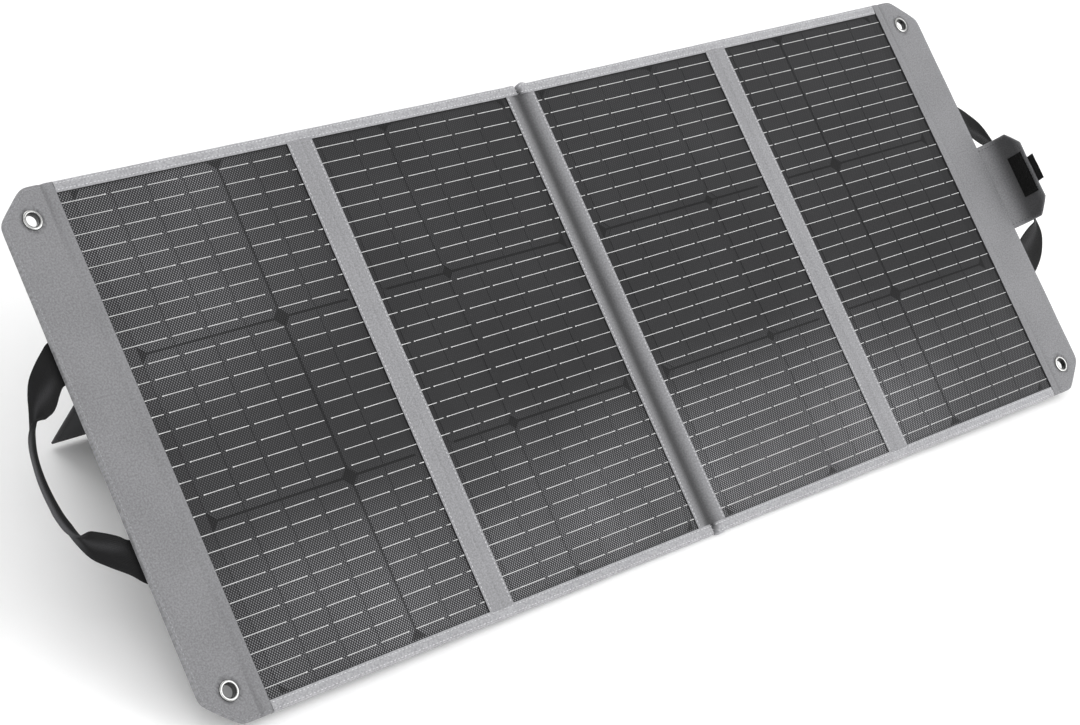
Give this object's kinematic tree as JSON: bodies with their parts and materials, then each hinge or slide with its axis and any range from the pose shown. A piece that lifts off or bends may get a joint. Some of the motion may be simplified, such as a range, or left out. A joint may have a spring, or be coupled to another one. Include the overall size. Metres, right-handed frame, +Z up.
{
  "type": "folding solar panel",
  "caption": "Fabric-hinged folding solar panel in a row of sections, standing tilted on board kickstands, with webbing handles, corner eyelets and a closure flap.",
  "frame": {"origin": "centre of the footprint on the ground, at ground level", "axes": "+Z up, +X along the panel towards the closure flap, solar faces turned to -Y and up"},
  "size_m": [1.5992, 0.5008, 0.3351],
  "materials": {
    "laminate": "black back sheet of the solar laminate, satin",
    "cells": "charcoal silicon under an embossed clear film",
    "stiffener": "plain extruded sheet",
    "back_fabric": "dark grey coated canvas",
    "binding_fabric": "light grey canvas, top-stitched",
    "front_fabric": "mid grey fine canvas",
    "nickel": "polished nickel plate",
    "webbing": "black satin webbing",
    "hook_and_loop": "black hook and loop tape",
    "zip_tape": "black zip tape and teeth",
    "zip_metal": "satin metal",
    "black_plastic": "fine moulded texture",
    "screw_steel": "plain steel",
    "circuit_board": "green solder resist",
    "diode_plastic": "black moulded body"
  },
  "bodies": {
    "inner_left_panel": {"inner_left_laminate": "laminate", "inner_left_cells": "cells", "inner_left_board": "stiffener", "inner_left_back_cover": "back_fabric", "inner_left_top_binding": "binding_fabric", "inner_left_bottom_binding": "binding_fabric", "left_fold_band": "front_fabric", "middle_fold_band": "front_fabric", "left_fold_back_band": "back_fabric", "middle_fold_back_band": "back_fabric"},
    "outer_left_panel": {"outer_left_laminate": "laminate", "outer_left_cells": "cells", "outer_left_board": "stiffener", "outer_left_back_cover": "back_fabric", "outer_left_top_binding": "binding_fabric", "outer_left_bottom_binding": "binding_fabric", "left_end_flap": "front_fabric", "left_eyelets": "nickel", "left_eyelet_washers": "nickel", "left_handle_sewn_ends": "webbing", "closure_loop_patch": "hook_and_loop", "left_kickstand_tether": "webbing"},
    "inner_right_panel": {"inner_right_laminate": "laminate", "inner_right_cells": "cells", "inner_right_board": "stiffener", "inner_right_back_cover": "back_fabric", "inner_right_top_binding": "binding_fabric", "inner_right_bottom_binding": "binding_fabric", "right_fold_band": "front_fabric", "right_fold_back_band": "back_fabric"},
    "outer_right_panel": {"outer_right_laminate": "laminate", "outer_right_cells": "cells", "outer_right_board": "stiffener", "outer_right_back_cover": "back_fabric", "outer_right_top_binding": "binding_fabric", "outer_right_bottom_binding": "binding_fabric", "right_end_flap": "front_fabric", "right_eyelets": "nickel", "right_eyelet_washers": "nickel", "right_handle_sewn_ends": "webbing", "right_kickstand_tether": "webbing", "cable_pocket": "back_fabric", "pocket_zip": "zip_tape", "junction_box_base": "black_plastic", "junction_box_lid": "black_plastic", "junction_box_screws": "screw_steel", "circuit_board": "circuit_board", "bypass_diodes": "diode_plastic", "output_socket": "black_plastic"},
    "left_handle": {"left_handle": "webbing"},
    "right_handle": {"right_handle": "webbing"},
    "closure_flap": {"closure_flap": "front_fabric", "closure_hook_patch": "hook_and_loop", "closure_pull_tab": "webbing"},
    "left_kickstand": {"left_kickstand_cover": "back_fabric", "left_kickstand_board": "stiffener"},
    "right_kickstand": {"right_kickstand_cover": "back_fabric", "right_kickstand_board": "stiffener"},
    "zip_pull": {"zip_pull": "zip_metal"}
  },
  "joints": [
    {"name": "fold_left", "type": "hinge", "parent": "inner_left_panel", "child": "outer_left_panel", "pos_m": [-0.33726, -0.0027, 0.17169], "axis": [0, 0.8387, 0.5446], "range_deg": [0, 178], "deforming": ["left_fold_band", "left_fold_back_band"]},
    {"name": "fold_middle", "type": "hinge", "parent": "inner_left_panel", "child": "inner_right_panel", "pos_m": [0, 0.00628, 0.15786], "axis": [0, 0.8387, 0.5446], "range_deg": [0, 115], "deforming": ["middle_fold_band", "middle_fold_back_band"]},
    {"name": "fold_right", "type": "hinge", "parent": "inner_right_panel", "child": "outer_right_panel", "pos_m": [0.33726, -0.0027, 0.17169], "axis": [0, 0.8387, 0.5446], "range_deg": [-168, 0], "deforming": ["right_fold_band", "right_fold_back_band"]},
    {"name": "kickstand_left", "type": "hinge", "parent": "outer_left_panel", "child": "left_kickstand", "pos_m": [-0.50446, 0.12334, 0.24199], "axis": [0.9998, 0.0095, -0.0146], "range_deg": [-75.5, 0], "deforming": ["left_kickstand_tether"]},
    {"name": "kickstand_right", "type": "hinge", "parent": "outer_right_panel", "child": "right_kickstand", "pos_m": [0.50446, 0.12334, 0.24199], "axis": [0.9998, -0.0095, 0.0146], "range_deg": [-75.5, 0], "deforming": ["right_kickstand_tether"]},
    {"name": "handle_left_swing", "type": "hinge", "parent": "outer_left_panel", "child": "left_handle", "pos_m": [-0.72884, -0.00207, 0.17071], "axis": [0, -0.8387, -0.5446], "range_deg": [-65, 65]},
    {"name": "handle_right_swing", "type": "hinge", "parent": "outer_right_panel", "child": "right_handle", "pos_m": [0.72884, -0.00207, 0.17071], "axis": [0, 0.8387, 0.5446], "range_deg": [-45, 65]},
    {"name": "closure_flap_turn", "type": "hinge", "parent": "outer_right_panel", "child": "closure_flap", "pos_m": [0.73073, -0.00568, 0.17627], "axis": [0, 0.8387, 0.5446], "range_deg": [-90, 30]},
    {"name": "zip_slide", "type": "slide", "parent": "outer_right_panel", "child": "zip_pull", "axis": [0.9998, -0.0095, 0.0146], "range_m": [0, 0.19]}
  ]
}
